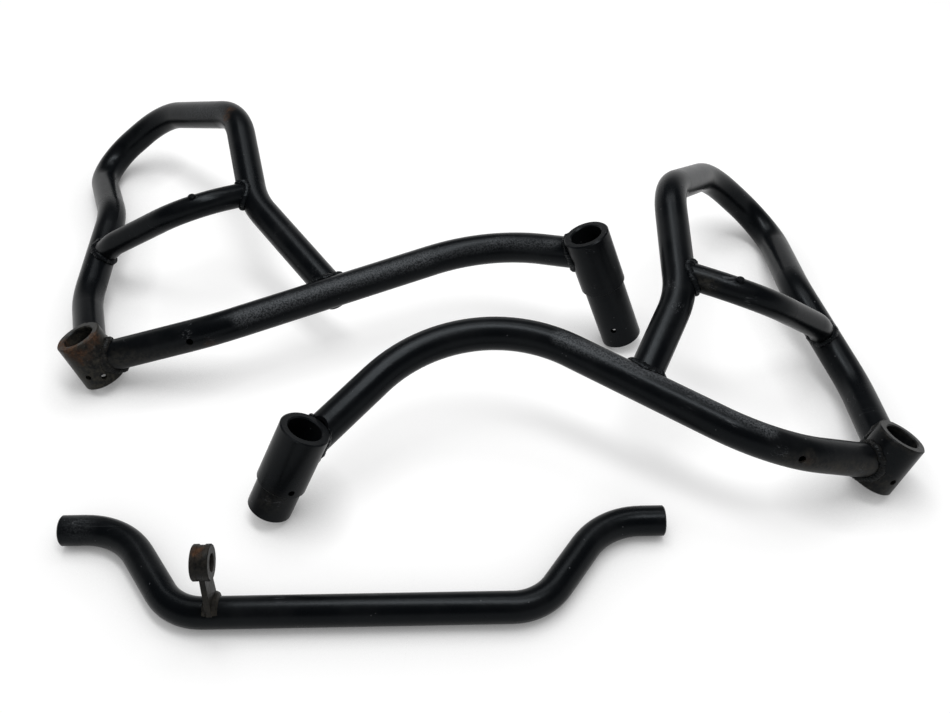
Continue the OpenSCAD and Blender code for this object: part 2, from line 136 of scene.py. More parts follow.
class Tree:
    """A node tree that is built by short calls."""

    def __init__(self, tree: bpy.types.NodeTree) -> None:
        """Wraps the tree."""
        self.tree = tree

    def node(self, kind: str, **settings: object) -> bpy.types.Node:
        """Adds a node.

        Args:
            kind: The node's class name without its ShaderNode prefix.
            settings: Properties to set on it.

        Returns:
            The new node.
        """
        made = self.tree.nodes.new("ShaderNode" + kind)
        for name, value in settings.items():
            setattr(made, name, value)
        return made

    def put(self, value: Value, socket: Socket) -> None:
        """Links a socket to another one, or sets its value.

        Args:
            value: The socket to link from, or the plain value.
            socket: The input that takes it.
        """
        if isinstance(value, Socket):
            self.tree.links.new(value, socket)
        else:
            socket.default_value = value

    def math(self, operation: str, a: Value, b: Value = 0.0, c: Value = 0.0) -> Socket:
        """Adds a Math node that clamps nothing.

        Args:
            operation: The sum it does.
            a: Its first number.
            b: Its second number.
            c: Its third number.

        Returns:
            The result.
        """
        made = self.node("Math", operation=operation)
        for value, socket in zip((a, b, c), made.inputs):
            self.put(value, socket)
        return made.outputs[0]

    def vector(self, operation: str, a: Value, b: Value = (0.0, 0.0, 0.0)) -> bpy.types.Node:
        """Adds a Vector Math node.

        Args:
            operation: The sum it does.
            a: Its first vector.
            b: Its second vector.

        Returns:
            The new node, as its result may be a vector or a number.
        """
        made = self.node("VectorMath", operation=operation)
        self.put(a, made.inputs[0])
        self.put(b, made.inputs[1])
        return made

    def ramp(
        self, value: Value, low: Value, high: Value, to_low: float = 0.0, to_high: float = 1.0
    ) -> Socket:
        """Maps a value smoothly to a new range.

        Args:
            value: The value.
            low: Where its range starts.
            high: Where its range ends.
            to_low: What the start becomes.
            to_high: What the end becomes.

        Returns:
            The mapped value.
        """
        made = self.node("MapRange", interpolation_type="SMOOTHSTEP")
        for given, socket in zip((value, low, high, to_low, to_high), made.inputs):
            self.put(given, socket)
        return made.outputs[0]

    def mix(self, factor: Value, a: Value, b: Value) -> Socket:
        """Mixes two colours.

        Args:
            factor: How much of the second one shows.
            a: The first colour.
            b: The second colour.

        Returns:
            The mixed colour.
        """
        made = self.node("Mix", data_type="RGBA")
        self.put(factor, made.inputs[0])
        self.put(a, made.inputs[FIRST_COLOUR])
        self.put(b, made.inputs[SECOND_COLOUR])
        return made.outputs[MIXED_COLOUR]

    def noise(self, place: Socket, scale: Value, detail: float, rough: float) -> Socket:
        """Adds a noise texture.

        Args:
            place: The coordinates.
            scale: How fine it is.
            detail: How many finer layers lie over it.
            rough: How strong the finer layers are.

        Returns:
            The noise's value.
        """
        made = self.node("TexNoise")
        self.put(place, made.inputs["Vector"])
        self.put(scale, made.inputs["Scale"])
        self.put(detail, made.inputs["Detail"])
        self.put(rough, made.inputs["Roughness"])
        return made.outputs[0]

    def plain(self, place: Socket, grain: Grain) -> Socket:
        """Adds a grain's noise as it is."""
        return self.noise(place, grain.scale, grain.detail, grain.rough)

    def spread(self, place: Socket, grain: Grain) -> Socket:
        """Adds a grain's noise, spread from faint to full."""
        return self.ramp(self.plain(place, grain), grain.low, grain.high, grain.faint, grain.full)

    def group(self, tree: bpy.types.NodeTree, **inputs: Value) -> bpy.types.Node:
        """Places a node group.

        Args:
            tree: The group.
            inputs: What its inputs take, by their names.

        Returns:
            The new node.
        """
        made = self.node("Group", node_tree=tree)
        for name, value in inputs.items():
            self.put(value, made.inputs[name])
        return made


def new_group(
    name: str, inputs: dict[str, str], outputs: dict[str, str]
) -> tuple[Tree, bpy.types.Node, bpy.types.Node]:
    """Starts a shader node group.

    Args:
        name: The group's name.
        inputs: Socket names and their kinds, such as Float or Vector.
        outputs: The same for its outputs.

    Returns:
        The wrapped tree, its input node and its output node.
    """
    tree = bpy.data.node_groups.new(name, "ShaderNodeTree")
    for names, way in ((inputs, "INPUT"), (outputs, "OUTPUT")):
        for socket, kind in names.items():
            tree.interface.new_socket(socket, in_out=way, socket_type="NodeSocket" + kind)
    return Tree(tree), tree.nodes.new("NodeGroupInput"), tree.nodes.new("NodeGroupOutput")


class Effects:
    """Node groups that the finishes share."""

    RAGGEDNESS: float = 2.2
    PATCH_EDGE: Range = (0.35, 0.75)
    PATCH_LIMIT: Range = (0.0, 0.25)
    GRAZE_STRETCH: float = 0.93
    SCRATCH_TURNS: tuple[Range, ...] = ((0.35, 1.0), (1.25, 5.0), (2.3, 9.0))
    SCRATCH_SHIFT: Point = (1.0, 0.7, 1.3)
    SCRATCH_TILT: Point = (0.6, 0.4, 1.0)
    SCRATCH_STRETCH: Point = (0.09, 1.0, 1.0)
    SCRATCH_WIDTH: float = 0.006
    SCRATCH_GAPS: float = 0.22
    SCRATCH_ENDS: Range = (0.72, 0.74)
    SCRATCH_DETAIL: Range = (1.0, 2.0)
    SCRATCH_ROUGH: float = 0.5
    CHIP_SIZE: Range = (0.06, 0.22)
    CHIP_EDGE: float = 0.7
    PEEL_SHARE: float = 0.5
    RIM_EDGE: float = 0.6
    NOISE_MIDDLE: float = 0.5

    def __init__(self) -> None:
        """Builds every group once."""
        self.patch = self._patch()
        self.streaks = self._streaks()
        self.scratches = self._scratches()
        self.chips = self._chips()
        self.coat = self._coat()
        self.rim = self._rim()

    def _patch(self) -> bpy.types.NodeTree:
        """Makes a patch round a point or along a line, ragged or soft at its edge.

        Returns:
            The group.
        """
        t, given, out = new_group(
            "worn patch",
            {
                "Vector": "Vector",
                "From": "Vector",
                "To": "Vector",
                "Radius": "Float",
                "Grain": "Float",
                "Soft": "Float",
            },
            {"Mask": "Float"},
        )
        start = given.outputs["From"]
        run = t.vector("SUBTRACT", given.outputs["To"], start).outputs[0]
        apart = t.vector("SUBTRACT", given.outputs["Vector"], start).outputs[0]
        along = t.vector("DOT_PRODUCT", apart, run).outputs["Value"]
        length = t.vector("DOT_PRODUCT", run, run).outputs["Value"]
        share = t.math("MINIMUM", t.math("MAXIMUM", t.math("DIVIDE", along, length), 0.0), 1.0)
        foot = t.vector("SCALE", run)
        t.put(share, foot.inputs["Scale"])
        gap = t.vector("DISTANCE", apart, foot.outputs[0]).outputs["Value"]
        near = t.math("SUBTRACT", 1.0, t.math("DIVIDE", gap, given.outputs["Radius"]))
        uneven = t.math("SUBTRACT", given.outputs["Grain"], self.NOISE_MIDDLE)
        ragged = t.math("MULTIPLY_ADD", uneven, self.RAGGEDNESS, near)
        edge, limit = t.ramp(ragged, *self.PATCH_EDGE), t.ramp(near, *self.PATCH_LIMIT)
        hard = t.math("MULTIPLY", edge, limit)
        soft = t.math("SUBTRACT", t.ramp(near, 0.0, 1.0), hard)
        t.put(t.math("MULTIPLY_ADD", soft, given.outputs["Soft"], hard), out.inputs["Mask"])
        return t.tree

    def _streaks(self) -> bpy.types.NodeTree:
        """Makes fine grazes drawn out along one direction.

        Returns:
            The group.
        """
        t, given, out = new_group(
            "grazes",
            {"Vector": "Vector", "Direction": "Vector"},
            {"Mask": "Float"},
        )
        place, way = given.outputs["Vector"], given.outputs["Direction"]
        along = t.vector("DOT_PRODUCT", place, way).outputs["Value"]
        back = t.vector("SCALE", way)
        t.put(t.math("MULTIPLY", along, -self.GRAZE_STRETCH), back.inputs["Scale"])
        drawn = t.vector("ADD", place, back.outputs[0]).outputs[0]
        fine, coarse = t.spread(drawn, FINE_GRAZES), t.spread(drawn, COARSE_GRAZES)
        t.put(t.math("MULTIPLY", fine, coarse), out.inputs["Mask"])
        return t.tree

    def _scratches(self) -> bpy.types.NodeTree:
        """Makes thin broken lines that run in three directions.

        Returns:
            The group.
        """
        t, given, out = new_group(
            "hairline scratches",
            {"Vector": "Vector", "Scale": "Float", "Amount": "Float"},
            {"Mask": "Float"},
        )
        line_detail, gap_detail = self.SCRATCH_DETAIL
        ends_from, ends_to = self.SCRATCH_ENDS
        total: Value = 0.0
        for turn, seed in self.SCRATCH_TURNS:
            placed = t.node("Mapping")
            t.put(given.outputs["Vector"], placed.inputs["Vector"])
            t.put(tuple(seed * share for share in self.SCRATCH_SHIFT), placed.inputs["Location"])
            t.put(tuple(turn * share for share in self.SCRATCH_TILT), placed.inputs["Rotation"])
            t.put(self.SCRATCH_STRETCH, placed.inputs["Scale"])
            lines = t.noise(
                placed.outputs[0], given.outputs["Scale"], line_detail, self.SCRATCH_ROUGH
            )
            off = t.math("ABSOLUTE", t.math("SUBTRACT", lines, self.NOISE_MIDDLE))
            thin = t.ramp(off, 0.0, self.SCRATCH_WIDTH, 1.0, 0.0)
            longer = t.math("MULTIPLY", given.outputs["Scale"], self.SCRATCH_GAPS)
            where = t.noise(placed.outputs[0], longer, gap_detail, self.SCRATCH_ROUGH)
            shown = t.math("SUBTRACT", ends_from, given.outputs["Amount"])
            broken = t.ramp(where, shown, ends_to)
            total = t.math("MAXIMUM", total, t.math("MULTIPLY", thin, broken))
        t.put(total, out.inputs["Mask"])
        return t.tree

    def _chips(self) -> bpy.types.NodeTree:
        """Makes small round chips, scattered unevenly.

        Returns:
            The group.
        """
        t, given, out = new_group(
            "paint chips",
            {"Vector": "Vector", "Scale": "Float", "Amount": "Float"},
            {"Mask": "Float"},
        )
        cells = t.node("TexVoronoi")
        t.put(given.outputs["Vector"], cells.inputs["Vector"])
        t.put(given.outputs["Scale"], cells.inputs["Scale"])
        chosen = t.node("SeparateColor")
        t.put(cells.outputs["Color"], chosen.inputs[0])
        few = t.math("LESS_THAN", chosen.outputs[0], given.outputs["Amount"])
        smallest, more = self.CHIP_SIZE
        size = t.math("MULTIPLY_ADD", chosen.outputs[1], more, smallest)
        dot = t.ramp(cells.outputs["Distance"], size, t.math("MULTIPLY", size, self.CHIP_EDGE))
        t.put(t.math("MULTIPLY", few, dot), out.inputs["Mask"])
        return t.tree

    def _coat(self) -> bpy.types.NodeTree:
        """Makes the paint's own fine texture and slow unevenness.

        Returns:
            The group.
        """
        t, given, out = new_group(
            "powder coat texture",
            {"Vector": "Vector"},
            {"Height": "Float", "Cloud": "Float"},
        )
        place = given.outputs["Vector"]
        peel, waves = t.plain(place, ORANGE_PEEL), t.plain(place, WAVES)
        t.put(t.math("MULTIPLY_ADD", peel, self.PEEL_SHARE, waves), out.inputs["Height"])
        t.put(t.plain(place, CLOUDS), out.inputs["Cloud"])
        return t.tree

    def _rim(self) -> bpy.types.NodeTree:
        """Makes a torn band across an axis, for rims and mouths.

        Returns:
            The group.
        """
        t, given, out = new_group(
            "rim band",
            {"Vector": "Vector", "Centre": "Vector", "Axis": "Vector", "Width": "Float"},
            {"Mask": "Float"},
        )
        place, width = given.outputs["Vector"], given.outputs["Width"]
        apart = t.vector("SUBTRACT", place, given.outputs["Centre"]).outputs[0]
        along = t.vector("DOT_PRODUCT", apart, given.outputs["Axis"]).outputs["Value"]
        torn = t.math("MULTIPLY", t.plain(place, TORN_RIM), width)
        far = t.math("SUBTRACT", t.math("ABSOLUTE", along), torn)
        edge = t.math("MULTIPLY", width, self.RIM_EDGE)
        t.put(t.ramp(far, 0.0, edge, 1.0, 0.0), out.inputs["Mask"])
        return t.tree


# Paint


@dataclass(frozen=True)
class WornPaint:
    """Satin black paint over steel, worn at named places, with chalk that is partly a painted
    highlight.
    """

    name: str
    colour: Colour = (0.0028, 0.0034, 0.0042)
    faded: Colour = (0.0062, 0.0068, 0.0076)
    roughness: float = 0.28
    specular: float = 0.09
    sheen: Colour = (0.86, 0.94, 1.0)
    grain: Point = (1.0, 0.0, 0.0)
    scratched: float = 0.05
    chipped: float = 0.035
    dusty: float = 0.0
    bump: float = 0.12
    spots: tuple[Spot, ...] = ()
    rims: tuple[Rim, ...] = ()
    bare: Colour = (0.075, 0.078, 0.083)
    rust: Colour = (0.045, 0.022, 0.012)
    bloom: Colour = (0.085, 0.042, 0.021)
    dust: Colour = (0.045, 0.041, 0.034)
    # Colour of the chalk, a light bluish grey that is partly a painted highlight.
    chalk_highlight: Colour = (0.085, 0.090, 0.096)
    scratch_scale: float = 95.0
    chip_scale: float = 330.0
    chip_shown: float = 0.8
    bare_shown: float = 0.75
    fading: Range = (0.42, 0.72)
    gloss_gain: float = 0.07
    cloud_dulls: float = 0.16
    dust_dulls: float = 0.3
    rust_dulls: float = 0.4
    bare_dulls: float = 0.12
    bare_sinks: float = 0.8
    rust_rises: float = 2.0
    bump_depth: float = 0.0006

    def build(self, effects: Effects) -> bpy.types.Material:
        """Makes the material.

        Args:
            effects: The shared node groups.

        Returns:
            The new material.
        """
        material = bpy.data.materials.new(self.name)
        material.use_nodes = True
        t = Tree(material.node_tree)
        shader = material.node_tree.nodes["Principled BSDF"]
        place = t.node("TexCoord").outputs["Object"]
        coat = t.group(effects.coat, Vector=place)
        cloud = coat.outputs["Cloud"]
        worn = self._layers(t, effects, place, cloud)
        t.put(self._body(t, place, cloud, worn), shader.inputs["Base Color"])
        t.put(self._dullness(t, cloud, worn), shader.inputs["Roughness"])
        t.put(self._relief(t, place, coat.outputs["Height"], worn), shader.inputs["Normal"])
        shader.inputs["Specular IOR Level"].default_value = self.specular
        shader.inputs["Specular Tint"].default_value = (*self.sheen, 1.0)
        return material

    def _mask(
        self, t: Tree, effects: Effects, place: Socket, ragged: Socket, kind: Wear
    ) -> Socket:
        """Adds up the spots and rims of one kind.

        Args:
            t: The material's tree.
            effects: The shared node groups.
            place: Object coordinates.
            ragged: The noise that tears the edges.
            kind: The kind of wear.

        Returns:
            Its mask, from 0 to 1.
        """
        total: Value = 0.0
        for spot in self.spots:
            if spot.kind is kind:
                made = t.group(
                    effects.patch,
                    Vector=place,
                    From=spot.at,
                    To=spot.to or spot.at,
                    Radius=spot.radius,
                    Grain=ragged,
                    Soft=kind.value,
                )
                shown = t.math("MULTIPLY", made.outputs[0], spot.strength)
                total = t.math("MAXIMUM", total, shown)
        for rim in self.rims:
            if rim.kind is kind:
                made = t.group(
                    effects.rim, Vector=place, Centre=rim.at, Axis=rim.axis, Width=rim.width
                )
                shown = t.math("MULTIPLY", made.outputs[0], rim.strength)
                total = t.math("MAXIMUM", total, shown)
        return total if isinstance(total, Socket) else t.math("ADD", total)

    def _layers(
        self, t: Tree, effects: Effects, place: Socket, cloud: Socket
    ) -> dict[Wear, Socket]:
        """Works out how strongly each kind of wear, and the painted highlight, shows over the
        surface.

        Args:
            t: The material's tree.
            effects: The shared node groups.
            place: Object coordinates.
            cloud: The paint's slow unevenness, in which dust settles.

        Returns:
            A mask for each kind of wear, with its grain in it.
        """
        ragged = t.plain(place, RAGGED_EDGE)
        masks = {kind: self._mask(t, effects, place, ragged, kind) for kind in Wear}
        lines = t.group(
            effects.scratches, Vector=place, Scale=self.scratch_scale, Amount=self.scratched
        )
        chips = t.group(effects.chips, Vector=place, Scale=self.chip_scale, Amount=self.chipped)
        chipped = t.math("MULTIPLY", chips.outputs[0], self.chip_shown)
        grazes = t.group(effects.streaks, Vector=place, Direction=self.grain)
        scraped = t.math("MULTIPLY", masks[Wear.SCUFF], grazes.outputs[0])
        marked = t.math("MAXIMUM", lines.outputs[0], chipped)
        film = t.math("MAXIMUM", masks[Wear.DUST], t.math("MULTIPLY", cloud, self.dusty))
        return {
            Wear.SCUFF: t.math("MAXIMUM", marked, scraped),
            Wear.RUST: t.math("MULTIPLY", masks[Wear.RUST], t.spread(place, RUST_GRAIN)),
            Wear.DUST: t.math("MULTIPLY", film, t.spread(place, DUST_GRAIN)),
            Wear.CHALK_AND_HIGHLIGHT: t.math("MULTIPLY", masks[Wear.CHALK_AND_HIGHLIGHT], t.spread(place, CHALK_HIGHLIGHT_GRAIN)),
        }

    def _body(self, t: Tree, place: Socket, cloud: Socket, worn: dict[Wear, Socket]) -> Socket:
        """Lays chalk with its painted highlight, dust, bare steel and rust over the paint's
        colour.

        Args:
            t: The material's tree.
            place: Object coordinates.
            cloud: The paint's slow unevenness.
            worn: The mask of each kind of wear.

        Returns:
            The base colour.
        """
        body = t.mix(t.ramp(cloud, *self.fading), (*self.colour, 1.0), (*self.faded, 1.0))
        # The chalk mask lightens the lit tube tops: chalky paint and a painted highlight.
        body = t.mix(worn[Wear.CHALK_AND_HIGHLIGHT], body, (*self.chalk_highlight, 1.0))
        body = t.mix(worn[Wear.DUST], body, (*self.dust, 1.0))
        steel = t.math("MULTIPLY", worn[Wear.SCUFF], self.bare_shown)
        body = t.mix(steel, body, (*self.bare, 1.0))
        rusty = t.mix(t.spread(place, RUST_TONES), (*self.rust, 1.0), (*self.bloom, 1.0))
        return t.mix(worn[Wear.RUST], body, rusty)

    def _dullness(self, t: Tree, cloud: Socket, worn: dict[Wear, Socket]) -> Socket:
        """Works out how rough the surface is.

        Args:
            t: The material's tree.
            cloud: The paint's slow unevenness.
            worn: The mask of each kind of wear.

        Returns:
            The roughness.
        """
        dull = t.math("MULTIPLY_ADD", cloud, self.cloud_dulls, self.roughness - self.gloss_gain)
        dust_and_chalk_highlight = t.math("MAXIMUM", worn[Wear.DUST], worn[Wear.CHALK_AND_HIGHLIGHT])
        dull = t.math("MULTIPLY_ADD", dust_and_chalk_highlight, self.dust_dulls, dull)
        dull = t.math("MULTIPLY_ADD", worn[Wear.RUST], self.rust_dulls, dull)
        return t.math("MULTIPLY_ADD", worn[Wear.SCUFF], self.bare_dulls, dull)

    def _relief(
        self, t: Tree, place: Socket, height: Socket, worn: dict[Wear, Socket]
    ) -> Socket:
        """Gives the surface its fine relief, with marks cut in and rust standing up.

        Args:
            t: The material's tree.
            place: Object coordinates.
            height: The paint's own texture.
            worn: The mask of each kind of wear.

        Returns:
            The normal.
        """
        cut = t.math("MULTIPLY_ADD", worn[Wear.SCUFF], -self.bare_sinks, height)
        pitted = t.math("MULTIPLY", worn[Wear.RUST], t.plain(place, RUST_PITS))
        bump = t.node("Bump")
        t.put(self.bump, bump.inputs["Strength"])
        t.put(self.bump_depth, bump.inputs["Distance"])
        t.put(t.math("MULTIPLY_ADD", pitted, self.rust_rises, cut), bump.inputs["Height"])
        return bump.outputs[0]


# Weld beads


@dataclass
class Bead:
    """A hand-laid weld bead that stands for one of the plain ring beads."""

    node: str
    ripples: int
    height: float = 0.0003
    sway: float = 1.3
    sways: float = 5.0
    lumps: float = 0.0008
    lump_rounds: Range = (7.0, 3.0)
    lump_phases: Range = (0.8, 2.1)
    lump_slant: float = 90.0
    cuts: int = 3
    softening: float = 0.5
    merge_gap: float = 1e-6
    axis_guess: Point = (0.3, 0.5, 0.8)
    axis_rounds: int = 30

    def build(self, plain: bpy.types.Object, material: bpy.types.Material) -> bpy.types.Object:
        """Models the bead from a copy of the plain one.

        Args:
            plain: The plain bead.
            material: The paint on it.

        Returns:
            The rippled bead.
        """
        mesh = bpy.data.meshes.new(self.node + "_rippled")
        work = bmesh.new()
        work.from_mesh(plain.data)
        bmesh.ops.remove_doubles(work, verts=work.verts, dist=self.merge_gap)
        bmesh.ops.subdivide_edges(work, edges=work.edges, cuts=self.cuts, use_grid_fill=True)
        bmesh.ops.smooth_vert(
            work,
            verts=work.verts,
            factor=self.softening,
            use_axis_x=True,
            use_axis_y=True,
            use_axis_z=True,
        )
        self._ripple(work)
        work.to_mesh(mesh)
        work.free()
        mesh.polygons.foreach_set("use_smooth", [True] * len(mesh.polygons))
        piece = bpy.data.objects.new(self.node + "_rippled", mesh)
        bpy.context.scene.collection.objects.link(piece)
        mesh.materials.append(material)
        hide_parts(self.node)
        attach(piece, "root")
        return piece

    def _ripple(self, work: bmesh.types.BMesh) -> None:
        """Pushes the skin in and out round the ring.

        Args:
            work: The bead's mesh.
        """
        work.normal_update()
        centre = sum((v.co for v in work.verts), Vector()) / len(work.verts)
        axis = self._axis(work, centre)
        across = axis.orthogonal().normalized()
        other = axis.cross(across)
        moves = []
        for v in work.verts:
            d = v.co - centre
            angle = math.atan2(d.dot(other), d.dot(across))
            moves.append(v.normal * self._swell(angle, d.length))
        for v, move in zip(work.verts, moves):
            v.co += move

    def _axis(self, work: bmesh.types.BMesh, centre: Vector) -> Vector:
        """Finds the ring's axis, along which its points spread least.

        Args:
            work: The bead's mesh.
            centre: The middle of its points.

        Returns:
            The axis, as a unit vector.
        """
        spread = Matrix(((0.0,) * 3,) * 3)
        for v in work.verts:
            d = v.co - centre
            for i in range(3):
                for j in range(3):
                    spread[i][j] += d[i] * d[j]
        axis = Vector(self.axis_guess)
        lifted = spread.inverted()
        for _ in range(self.axis_rounds):
            axis = (lifted @ axis).normalized()
        return axis

    def _swell(self, angle: float, reach: float) -> float:
        """Works out how far the skin moves at one point.

        Args:
            angle: Where the point lies round the ring.
            reach: How far it lies from the ring's centre.

        Returns:
            The distance outwards.
        """
        wave = math.sin(angle * self.ripples + self.sway * math.sin(angle * self.sways))
        quick, slow = self.lump_rounds
        first, second = self.lump_phases
        lump = math.sin(angle * quick + first)
        lump *= math.sin(angle * slow + second + reach * self.lump_slant)
        return wave * self.height + lump * self.lumps


# The set


@dataclass
class SideBar:
    """One welded side bar."""

    side: str
    finishes: dict[str, WornPaint]
    bead_finish: WornPaint
    front_bead_finish: WornPaint
    beads: tuple[tuple[str, int], ...] = (
        ("front_main_weld", 44),
        ("front_hoop_weld", 44),
        ("rear_weld", 46),
        ("hoop_weld", 46),
        ("brace_outer_weld", 38),
        ("brace_inner_weld", 38),
    )

    def build(self, nodes: dict[str, bpy.types.Object], effects: Effects) -> None:
        """Dresses the bar's tubes and sockets and models its beads.

        Args:
            nodes: The CAD pieces by name.
            effects: The shared node groups.
        """
        for name, finish in self.finishes.items():
            dress(nodes[f"{self.side}_{name}"], finish.build(effects))
        dress(nodes[f"{self.side}_brace_nub"], self.bead_finish.build(effects))
        paint = self.bead_finish.build(effects)
        front_paint = self.front_bead_finish.build(effects)
        for name, ripples in self.beads:
            node = f"{self.side}_{name}"
            at_front = name.startswith("front")
            piece = Bead(node, ripples).build(nodes[node], front_paint if at_front else paint)
            LOG.info("%s: %d faces", piece.name, len(piece.data.polygons))


@dataclass
class CrossTube:
    """The loose cross tube with its lug."""

    finish: WornPaint
    lug_finish: WornPaint
    lug: tuple[str, ...] = ("lug_plate", "lug_left_boss", "lug_right_boss", "lug_weld")

    def build(self, nodes: dict[str, bpy.types.Object], effects: Effects) -> None:
        """Dresses the tube and its lug.

        Args:
            nodes: The CAD pieces by name.
            effects: The shared node groups.
        """
        dress(nodes["cross_tube"], self.finish.build(effects))
        worn = self.lug_finish.build(effects)
        for name in self.lug:
            dress(nodes[name], worn)


def dress(piece: bpy.types.Object, material: bpy.types.Material) -> None:
    """Gives a piece one material.

    Args:
        piece: The piece.
        material: Its paint.
    """
    piece.data.materials.clear()
    piece.data.materials.append(material)
    LOG.info("%s: %s", piece.name, material.name)


# The studio


@dataclass(frozen=True)
class SoftBox:
    """A lamp with a broad face that looks at the middle of the set."""

    name: str
    at: Point
    size: Range
    power: float

    def build(self) -> None:
        """Hangs the lamp."""
        data = bpy.data.lights.new(self.name, "AREA")
        data.shape = "RECTANGLE"
        data.size, data.size_y = self.size
        data.energy = self.power
        lamp = bpy.data.objects.new(self.name, data)
        lamp.location = self.at
        lamp.rotation_euler = (-Vector(self.at)).to_track_quat("-Z", "Y").to_euler()
        bpy.context.scene.collection.objects.link(lamp)


@dataclass
class Studio:
    """Pale floor, soft lights and the camera."""

    camera_at: Point = (0.0325, -0.6783, 0.6331)
    camera_pitch: float = 43.86
    focal_px: float = 1014.3
    photo_width: float = 950.0
    sensor: float = 36.0
    nearest_seen: float = 0.01
    floor_radius: float = 60.0
    floor_sides: int = 128
    floor_shown: float = 0.4
    floor_bounce: float = 0.3
    floor_roughness: float = 0.9
    floor_glow: float = 0.66
    full_glow: float = 1.0
    glow_rise: Range = (0.7, 3.0)
    # Reach and samples of the painted contact shade that darkens the floor's glow next to the
    # pieces.
    painted_shade_reach: float = 0.045
    painted_shade_samples: int = 4
    horizon: float = 1.0
    ceiling: float = 0.03
    wall: Range = (0.16, 0.5)
    lamps: tuple[SoftBox, ...] = (
        SoftBox("overhead soft box", (0.05, 0.05, 1.9), (1.5, 0.45), 28.0),
        SoftBox("rear soft box", (0.05, 0.85, 1.7), (1.5, 0.5), 9.0),
    )

    def build(self) -> None:
        """Makes the floor, the world, the lamps and the camera."""
        self._floor()
        self._world()
        for lamp in self.lamps:
            lamp.build()
        self._camera()

    def _floor(self) -> None:
        """Makes the floor, which shows white but keeps its shadow, with painted contact shade near
        the pieces.
        """
        mesh = bpy.data.meshes.new("studio_floor")
        work = bmesh.new()
        bmesh.ops.create_circle(
            work, cap_ends=True, segments=self.floor_sides, radius=self.floor_radius
        )
        work.to_mesh(mesh)
        work.free()
        floor = bpy.data.objects.new("studio_floor", mesh)
        bpy.context.scene.collection.objects.link(floor)
        material = bpy.data.materials.new("pale floor")
        material.use_nodes = True
        t = Tree(material.node_tree)
        shader = material.node_tree.nodes["Principled BSDF"]
        path = t.node("LightPath").outputs
        seen = t.math("MAXIMUM", path["Is Camera Ray"], path["Is Glossy Ray"])
        seen = t.math("MAXIMUM", seen, path["Is Transmission Ray"])
        hidden, shown = (self.floor_bounce,) * 3, (self.floor_shown,) * 3
        t.put(t.mix(seen, (*hidden, 1.0), (*shown, 1.0)), shader.inputs["Base Color"])
        shader.inputs["Emission Color"].default_value = WHITE
        # Ambient occlusion dims the floor's glow next to the pieces and inside the open socket
        # bores: painted contact shade.
        painted_contact_shade = t.node("AmbientOcclusion", samples=self.painted_shade_samples)
        painted_contact_shade.inputs["Distance"].default_value = self.painted_shade_reach
        away = t.vector("LENGTH", t.node("TexCoord").outputs["Object"]).outputs["Value"]
        even = t.ramp(away, *self.glow_rise, self.floor_glow, self.full_glow)
        glow_with_painted_shade = t.math("MULTIPLY", seen, t.math("MULTIPLY", painted_contact_shade.outputs["AO"], even))
        t.put(glow_with_painted_shade, shader.inputs["Emission Strength"])
        shader.inputs["Roughness"].default_value = self.floor_roughness
        shader.inputs["Specular IOR Level"].default_value = 0.0
        mesh.materials.append(material)

    def _world(self) -> None:
        """Makes a room that is white at the horizon and dim overhead."""
        world = bpy.data.worlds.new("studio")
        bpy.context.scene.world = world
        world.use_nodes = True
        t = Tree(world.node_tree)
        backdrop = world.node_tree.nodes["Background"]
        ray = t.node("SeparateXYZ")
        t.put(t.node("TexCoord").outputs["Generated"], ray.inputs[0])
        light = t.ramp(ray.outputs[2], *self.wall, self.horizon, self.ceiling)
        t.put(light, backdrop.inputs["Strength"])
        backdrop.inputs["Color"].default_value = WHITE

    def _camera(self) -> None:
        """Places the camera at the photograph's viewpoint."""
        data = bpy.data.cameras.new("camera")
        data.sensor_width = self.sensor
        data.lens = self.focal_px / self.photo_width * self.sensor
        data.clip_start = self.nearest_seen
        camera = bpy.data.objects.new("camera", data)
        camera.location = self.camera_at
        camera.rotation_euler = (math.radians(90.0 - self.camera_pitch), 0.0, 0.0)
        bpy.context.scene.collection.objects.link(camera)
        bpy.context.scene.camera = camera
        bpy.context.scene.view_settings.view_transform = "Standard"


# Worn places


def spots(kind: Wear, radius: float, *places: Point, strength: float = 1.0) -> tuple[Spot, ...]:
    """Makes worn places of one kind and size; chalk ones are partly painted highlights."""
    return tuple(Spot(kind, at, radius, strength) for at in places)


def line(kind: Wear, radius: float, *places: Point, strength: float = 1.0) -> tuple[Spot, ...]:
    """Makes a worn line through several places; a chalk line is partly a painted highlight."""
    return tuple(Spot(kind, at, radius, strength, to) for at, to in zip(places, places[1:]))


